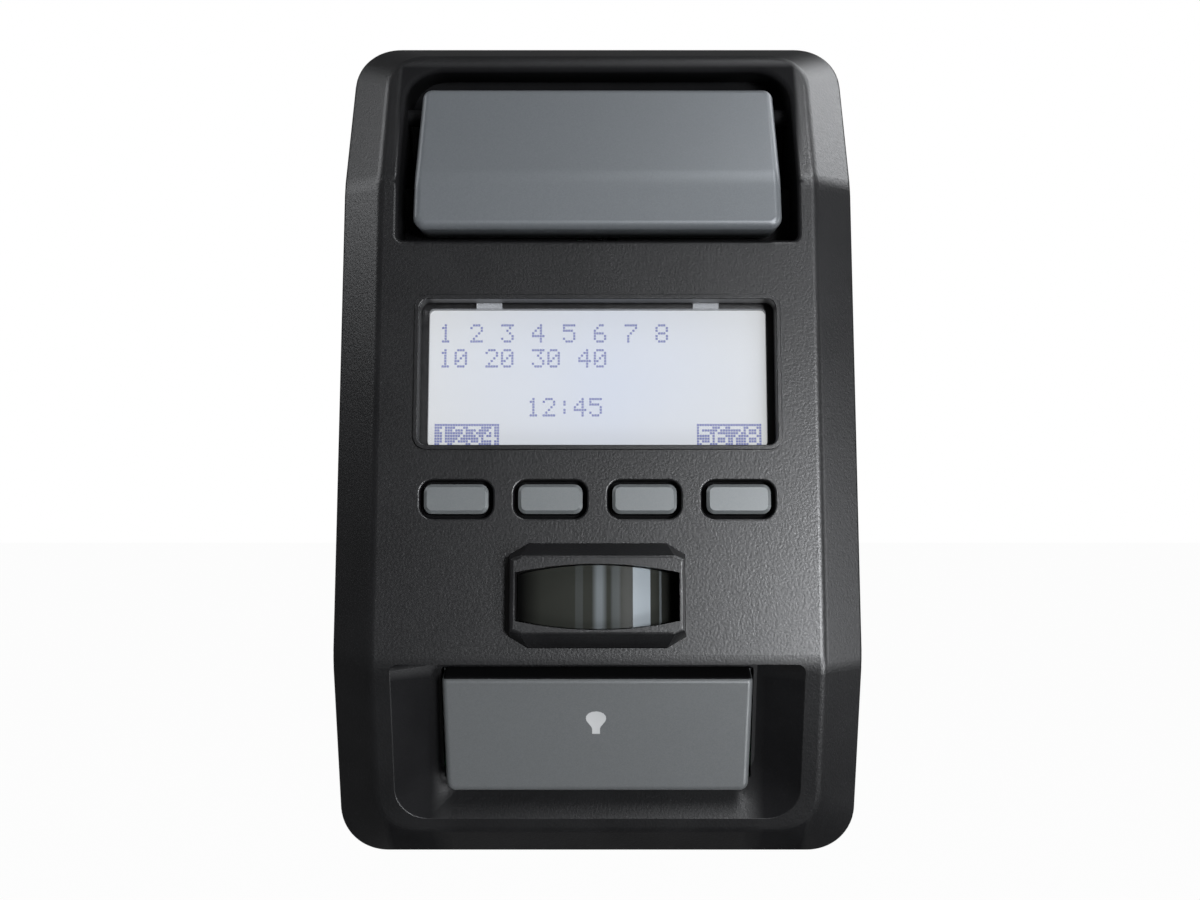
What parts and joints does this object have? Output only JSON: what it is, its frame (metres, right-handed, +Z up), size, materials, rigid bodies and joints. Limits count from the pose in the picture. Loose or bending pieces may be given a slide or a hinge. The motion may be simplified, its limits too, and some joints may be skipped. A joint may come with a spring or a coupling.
{
  "type": "garage door wall control panel",
  "caption": "Wall control with a hinged push bar, lit display, a row of keys, motion sensor and light button.",
  "frame": {"origin": "centre of the back face, on the wall plane", "axes": "+Y into the wall, -Y out of the front, +Z up, +X to the right seen from the front"},
  "size_m": [0.077, 0.0366, 0.125],
  "materials": {
    "black_plastic": "fine spark-eroded moulding",
    "grey_paint": "satin grey coating on moulded plastic",
    "clear_plastic": "clear moulded window",
    "display_glass": "liquid crystal glass, lit from behind",
    "dark_lens": "smoked glossy lens",
    "frame_plastic": "smooth black moulding",
    "light_guide": "frosted clear",
    "lamp": "moulded lamp body",
    "contact_rubber": "matt",
    "board": "green solder mask",
    "switch_body": "matt",
    "plunger": "matt",
    "sensor_steel": "drawn can",
    "filter": "dark filter",
    "steel": "zinc plated",
    "chip": "moulded epoxy",
    "capacitor": "sleeved can",
    "small_parts": "ceramic bodies",
    "brass": "bright plated"
  },
  "bodies": {
    "housing": {"front_cover": "black_plastic", "rear_cover": "black_plastic", "cover_screws": "steel", "circuit_board": "board", "board_screws": "steel", "key_switches": "switch_body", "door_switch": "switch_body", "light_switch": "switch_body", "display_window": "clear_plastic", "display_glass": "display_glass", "display_frame": "frame_plastic", "light_guide": "light_guide", "backlight_leds": "lamp", "display_connector": "contact_rubber", "motion_lens": "dark_lens", "motion_sensor_holder": "frame_plastic", "motion_sensor_can": "sensor_steel", "motion_sensor_window": "filter", "microcontroller": "chip", "storage_capacitor": "capacitor", "board_components": "small_parts", "terminal_plates": "brass", "terminal_screws": "steel"},
    "push_bar": {"push_bar": "grey_paint"},
    "light_button": {"light_button": "grey_paint"},
    "door_switch_plunger": {"door_switch_plunger": "plunger"},
    "light_switch_plunger": {"light_switch_plunger": "plunger"},
    "key_1": {"key_1": "grey_paint"},
    "key_1_plunger": {"key_1_plunger": "plunger"},
    "key_2": {"key_2": "grey_paint"},
    "key_2_plunger": {"key_2_plunger": "plunger"},
    "key_3": {"key_3": "grey_paint"},
    "key_3_plunger": {"key_3_plunger": "plunger"},
    "key_4": {"key_4": "grey_paint"},
    "key_4_plunger": {"key_4_plunger": "plunger"}
  },
  "joints": [
    {"name": "push_bar_hinge", "type": "hinge", "parent": "housing", "child": "push_bar", "pos_m": [0, -0.013, 0.05], "axis": [-1, 0, 0], "range_deg": [-3, 65], "stiffness_Nm_per_rad": 0.06},
    {"name": "light_button_hinge", "type": "hinge", "parent": "housing", "child": "light_button", "pos_m": [0, -0.02526, -0.0346], "axis": [1, 0, 0], "range_deg": [0, 2], "stiffness_Nm_per_rad": 0.04},
    {"name": "door_switch_slide", "type": "slide", "parent": "housing", "child": "door_switch_plunger", "axis": [0, 0.991, -0.1335], "range_m": [0, 0.0003], "stiffness_N_per_m": 3},
    {"name": "light_switch_slide", "type": "slide", "parent": "housing", "child": "light_switch_plunger", "axis": [0, 0.991, -0.1335], "range_m": [0, 0.0004], "stiffness_N_per_m": 0.3},
    {"name": "key_1_slide", "type": "slide", "parent": "housing", "child": "key_1", "axis": [0, 0.991, -0.1335], "range_m": [0, 0.0003], "stiffness_N_per_m": 30},
    {"name": "key_1_plunger_slide", "type": "slide", "parent": "housing", "child": "key_1_plunger", "axis": [0, 0.991, -0.1335], "range_m": [0, 0.0004]},
    {"name": "key_2_slide", "type": "slide", "parent": "housing", "child": "key_2", "axis": [0, 0.991, -0.1335], "range_m": [0, 0.0003], "stiffness_N_per_m": 30},
    {"name": "key_2_plunger_slide", "type": "slide", "parent": "housing", "child": "key_2_plunger", "axis": [0, 0.991, -0.1335], "range_m": [0, 0.0004]},
    {"name": "key_3_slide", "type": "slide", "parent": "housing", "child": "key_3", "axis": [0, 0.991, -0.1335], "range_m": [0, 0.0003], "stiffness_N_per_m": 30},
    {"name": "key_3_plunger_slide", "type": "slide", "parent": "housing", "child": "key_3_plunger", "axis": [0, 0.991, -0.1335], "range_m": [0, 0.0004]},
    {"name": "key_4_slide", "type": "slide", "parent": "housing", "child": "key_4", "axis": [0, 0.991, -0.1335], "range_m": [0, 0.0003], "stiffness_N_per_m": 30},
    {"name": "key_4_plunger_slide", "type": "slide", "parent": "housing", "child": "key_4_plunger", "axis": [0, 0.991, -0.1335], "range_m": [0, 0.0004]}
  ],
  "couplings": [
    {"joint": "light_switch_slide", "follows": "light_button_hinge", "m_per_rad": 0.007796},
    {"joint": "key_1_plunger_slide", "follows": "key_1_slide", "ratio": 1},
    {"joint": "key_2_plunger_slide", "follows": "key_2_slide", "ratio": 1},
    {"joint": "key_3_plunger_slide", "follows": "key_3_slide", "ratio": 1},
    {"joint": "key_4_plunger_slide", "follows": "key_4_slide", "ratio": 1}
  ]
}
